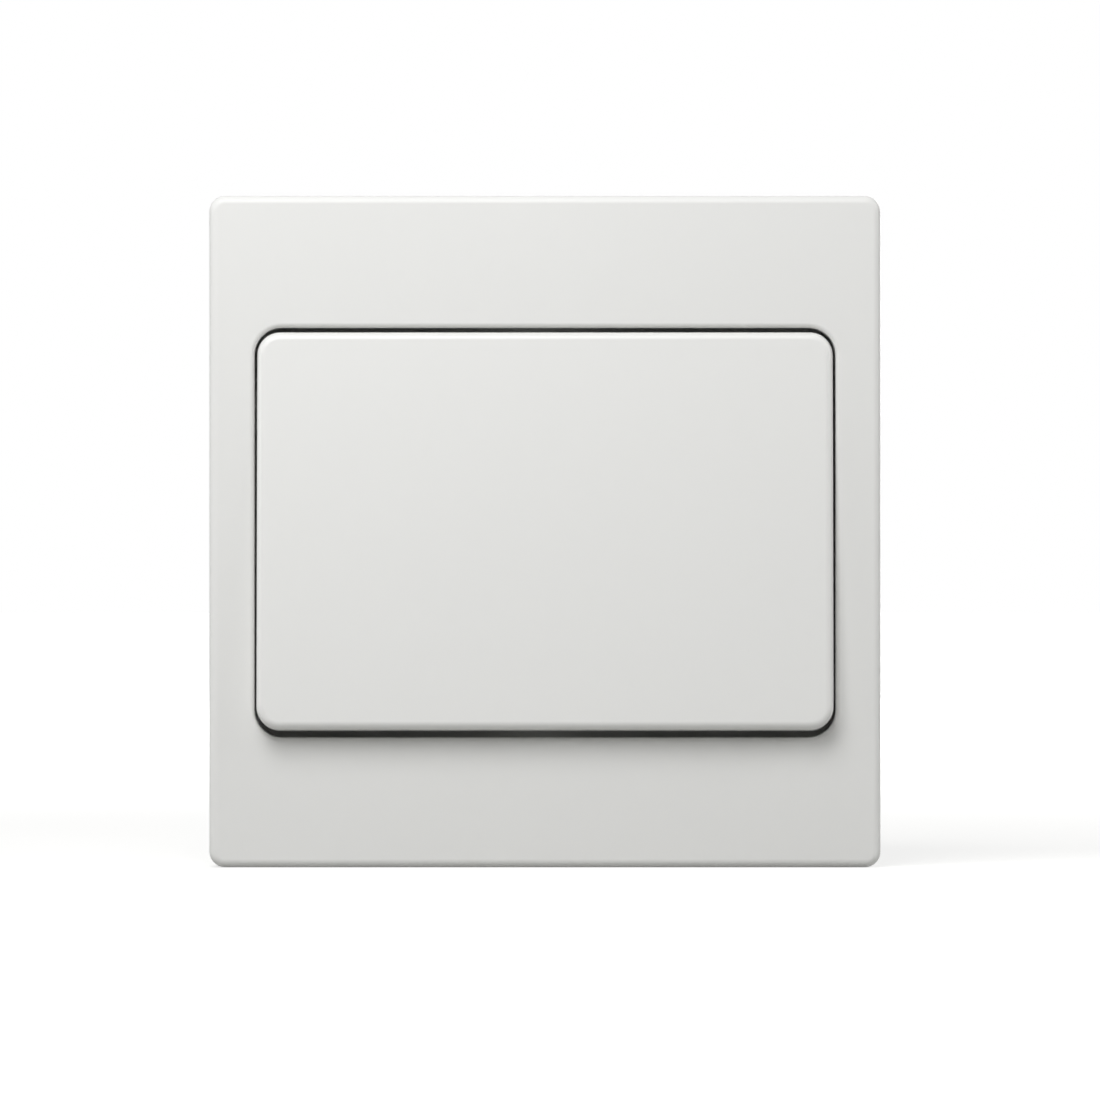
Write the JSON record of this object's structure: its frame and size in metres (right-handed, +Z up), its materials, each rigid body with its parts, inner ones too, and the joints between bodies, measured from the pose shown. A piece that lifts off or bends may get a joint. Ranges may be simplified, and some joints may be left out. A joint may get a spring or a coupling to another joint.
{
  "type": "push button light switch",
  "caption": "Square wall switch with a wide landscape push button that tilts about its middle, closes a see-saw contact behind it and springs back when let go.",
  "frame": {"origin": "midway between the two fixing screws, on the wall plane at the back of the mounting frame", "axes": "+Z up, +X to the right seen from the front, +Y into the wall, so the button faces -Y"},
  "size_m": [0.086, 0.0358, 0.086],
  "materials": {
    "plate_white": "fine satin moulding",
    "button_white": "fine satin moulding",
    "frame_white": "plain moulding",
    "housing_grey": "plain moulding",
    "lid_white": "plain moulding",
    "acetal_white": "smooth acetal",
    "spring_steel": "drawn wire",
    "copper": "stamped copper strip",
    "silver": "silver alloy rivet",
    "brass": "stamped and machined brass",
    "plated_steel": "zinc plated"
  },
  "bodies": {
    "switch": {"cover_plate": "plate_white", "mounting_frame": "frame_white", "fixing_screw_left": "plated_steel", "fixing_screw_right": "plated_steel", "mechanism_base": "housing_grey", "mechanism_lid": "lid_white", "return_spring": "spring_steel", "fixed_contact": "brass", "fixed_contact_tip": "silver", "fulcrum_strip": "brass", "terminal_upper": "brass", "terminal_lower": "brass", "terminal_screw_upper": "plated_steel", "terminal_screw_lower": "plated_steel"},
    "rocker": {"button": "button_white", "dolly": "acetal_white", "plunger_spring": "spring_steel"},
    "plunger": {"plunger": "acetal_white"},
    "contact": {"contact_rocker": "copper", "moving_contact_tip": "silver"}
  },
  "joints": [
    {"name": "button_press", "type": "hinge", "parent": "switch", "child": "rocker", "pos_m": [0, -0.0046, 0], "axis": [1, 0, 0], "range_deg": [0, 7.2], "stiffness_Nm_per_rad": 0.093, "springref_deg": -14.32, "deforming": ["return_spring"]},
    {"name": "contact_rock", "type": "hinge", "parent": "switch", "child": "contact", "pos_m": [0, 0.01066, 0], "axis": [1, 0, 0], "range_deg": [-12, 0]},
    {"name": "plunger_slide", "type": "slide", "parent": "rocker", "child": "plunger", "axis": [0, -0.998, 0.0628], "range_m": [0, 0.0008], "stiffness_N_per_m": 830, "springref_m": -0.0018, "deforming": ["plunger_spring"]}
  ],
  "couplings": [
    {"joint": "contact_rock", "follows": "button_press", "ratio": -1.6667}
  ]
}
